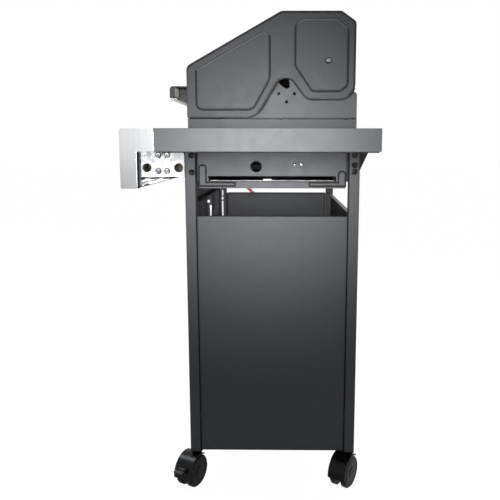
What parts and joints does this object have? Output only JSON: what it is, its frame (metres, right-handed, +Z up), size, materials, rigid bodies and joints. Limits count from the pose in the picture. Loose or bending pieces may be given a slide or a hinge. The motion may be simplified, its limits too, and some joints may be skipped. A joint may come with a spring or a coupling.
{
  "type": "gas barbecue grill",
  "caption": "Gas barbecue grill on a closed rolling cart, with a hinged lid, side shelves, control knobs, a pull-out grease tray and a two-door cabinet.",
  "frame": {"origin": "on the floor, under the middle of the whole grill's box", "axes": "+X to the user's right when facing the control knobs, +Y away from the user to the rear, +Z up"},
  "size_m": [1.352, 0.5051, 1.153],
  "materials": {
    "charcoal_paint": "fine powder coat",
    "stainless": "brushed",
    "galvanised": "zinc plated",
    "screw_steel": "black oxide",
    "cast_iron": "matt enamel",
    "brass": "satin",
    "hose_rubber": "smooth",
    "dark_plastic": "moulded",
    "caster_black": "moulded gloss",
    "lever_grey": "moulded",
    "dial_chrome": "polished",
    "needle_red": "painted"
  },
  "bodies": {
    "cart": {"back_panel": "charcoal_paint", "bottom_shelf": "charcoal_paint", "burner_tubes": "stainless", "cart_screws": "screw_steel", "caster_plates": "galvanised", "control_panel": "stainless", "cooking_grates": "cast_iron", "door_hinge_pins": "galvanised", "firebox_end_left": "charcoal_paint", "firebox_end_right": "charcoal_paint", "firebox_shell": "charcoal_paint", "flame_tamers": "stainless", "front_rail": "charcoal_paint", "gas_hose": "hose_rubber", "gas_manifold": "brass", "gas_valves": "brass", "hinge_bolts": "galvanised", "hinge_plates": "charcoal_paint", "leg_front_left": "charcoal_paint", "leg_front_right": "charcoal_paint", "leg_rear_left": "charcoal_paint", "leg_rear_right": "charcoal_paint", "panel_end_brackets": "galvanised", "regulator": "brass", "shelf_brackets": "charcoal_paint", "shelf_fascia_left": "stainless", "shelf_fascia_right": "stainless", "shelf_left": "charcoal_paint", "shelf_right": "charcoal_paint", "side_panels": "charcoal_paint", "warming_rack": "galvanised"},
    "lid": {"lid_skin": "charcoal_paint", "lid_ends": "charcoal_paint", "lid_handle_bar": "stainless", "lid_handle_brackets": "dark_plastic", "thermometer": "dial_chrome"},
    "needle": {"thermometer_needle": "needle_red"},
    "door_left": {"door_left": "charcoal_paint", "door_handle_left": "stainless"},
    "door_right": {"door_right": "charcoal_paint", "door_handle_right": "stainless"},
    "tray": {"grease_tray": "galvanised"},
    "caster_front_right": {"caster_hood_front_right": "caster_black"},
    "wheels_front_right": {"caster_wheels_front_right": "caster_black"},
    "lever_front_right": {"brake_lever_front_right": "lever_grey"},
    "caster_front_left": {"caster_hood_front_left": "caster_black"},
    "wheels_front_left": {"caster_wheels_front_left": "caster_black"},
    "lever_front_left": {"brake_lever_front_left": "lever_grey"},
    "caster_rear_right": {"caster_hood_rear_right": "caster_black"},
    "wheels_rear_right": {"caster_wheels_rear_right": "caster_black"},
    "caster_rear_left": {"caster_hood_rear_left": "caster_black"},
    "wheels_rear_left": {"caster_wheels_rear_left": "caster_black"},
    "stem_1": {"valve_stem_1": "brass"},
    "knob_1": {"knob_1": "dark_plastic"},
    "stem_2": {"valve_stem_2": "brass"},
    "knob_2": {"knob_2": "dark_plastic"},
    "stem_3": {"valve_stem_3": "brass"},
    "knob_3": {"knob_3": "dark_plastic"},
    "stem_4": {"valve_stem_4": "brass"},
    "knob_4": {"knob_4": "dark_plastic"}
  },
  "joints": [
    {"name": "lid_hinge", "type": "hinge", "parent": "cart", "child": "lid", "pos_m": [0, 0.16114, 1.044], "axis": [-1, 0, 0], "range_deg": [0, 90]},
    {"name": "door_left_hinge", "type": "hinge", "parent": "cart", "child": "door_left", "pos_m": [-0.307, -0.16386, 0.0988], "axis": [0, 0, -1], "range_deg": [0, 110]},
    {"name": "door_right_hinge", "type": "hinge", "parent": "cart", "child": "door_right", "pos_m": [0.307, -0.16386, 0.0988], "axis": [0, 0, 1], "range_deg": [0, 110]},
    {"name": "tray_slide", "type": "slide", "parent": "cart", "child": "tray", "axis": [1, 0, 0], "range_m": [0, 0.45]},
    {"name": "swivel_front_right", "type": "hinge", "parent": "cart", "child": "caster_front_right", "pos_m": [0.319, -0.16036, 0.0904], "axis": [0, 0, 1], "continuous": true},
    {"name": "roll_front_right", "type": "hinge", "parent": "caster_front_right", "child": "wheels_front_right", "pos_m": [0.34157, -0.17112, 0.039], "axis": [0.4305, 0.9026, 0], "continuous": true},
    {"name": "brake_front_right", "type": "hinge", "parent": "caster_front_right", "child": "lever_front_right", "pos_m": [0.38172, -0.19028, 0.0607], "axis": [0.4305, 0.9026, 0], "range_deg": [0, 20]},
    {"name": "swivel_front_left", "type": "hinge", "parent": "cart", "child": "caster_front_left", "pos_m": [-0.319, -0.16036, 0.0904], "axis": [0, 0, 1], "continuous": true},
    {"name": "roll_front_left", "type": "hinge", "parent": "caster_front_left", "child": "wheels_front_left", "pos_m": [-0.29644, -0.17112, 0.039], "axis": [0.4305, 0.9026, 0], "continuous": true},
    {"name": "brake_front_left", "type": "hinge", "parent": "caster_front_left", "child": "lever_front_left", "pos_m": [-0.25628, -0.19028, 0.0607], "axis": [0.4305, 0.9026, 0], "range_deg": [0, 20]},
    {"name": "swivel_rear_right", "type": "hinge", "parent": "cart", "child": "caster_rear_right", "pos_m": [0.319, 0.22664, 0.0904], "axis": [0, 0, 1], "continuous": true},
    {"name": "roll_rear_right", "type": "hinge", "parent": "caster_rear_right", "child": "wheels_rear_right", "pos_m": [0.34043, 0.21376, 0.039], "axis": [0.515, 0.8572, 0], "continuous": true},
    {"name": "swivel_rear_left", "type": "hinge", "parent": "cart", "child": "caster_rear_left", "pos_m": [-0.319, 0.22664, 0.0904], "axis": [0, 0, 1], "continuous": true},
    {"name": "roll_rear_left", "type": "hinge", "parent": "caster_rear_left", "child": "wheels_rear_left", "pos_m": [-0.29757, 0.21376, 0.039], "axis": [0.515, 0.8572, 0], "continuous": true},
    {"name": "push_1", "type": "slide", "parent": "cart", "child": "stem_1", "axis": [0, 1, 0], "range_m": [0, 0.003], "stiffness_N_per_m": 2000},
    {"name": "turn_1", "type": "hinge", "parent": "stem_1", "child": "knob_1", "pos_m": [-0.2565, -0.22756, 0.826], "axis": [0, -1, 0], "range_deg": [0, 240]},
    {"name": "push_2", "type": "slide", "parent": "cart", "child": "stem_2", "axis": [0, 1, 0], "range_m": [0, 0.003], "stiffness_N_per_m": 2000},
    {"name": "turn_2", "type": "hinge", "parent": "stem_2", "child": "knob_2", "pos_m": [-0.0855, -0.22756, 0.826], "axis": [0, -1, 0], "range_deg": [0, 240]},
    {"name": "push_3", "type": "slide", "parent": "cart", "child": "stem_3", "axis": [0, 1, 0], "range_m": [0, 0.003], "stiffness_N_per_m": 2000},
    {"name": "turn_3", "type": "hinge", "parent": "stem_3", "child": "knob_3", "pos_m": [0.0855, -0.22756, 0.826], "axis": [0, -1, 0], "range_deg": [0, 240]},
    {"name": "push_4", "type": "slide", "parent": "cart", "child": "stem_4", "axis": [0, 1, 0], "range_m": [0, 0.003], "stiffness_N_per_m": 2000},
    {"name": "turn_4", "type": "hinge", "parent": "stem_4", "child": "knob_4", "pos_m": [0.2565, -0.22756, 0.826], "axis": [0, -1, 0], "range_deg": [0, 240]},
    {"name": "needle_turn", "type": "hinge", "parent": "lid", "child": "needle", "pos_m": [0, -0.07606, 1.0804], "axis": [0, 0.487, -0.8734], "range_deg": [0, 270], "stiffness_Nm_per_rad": 0.0005}
  ]
}
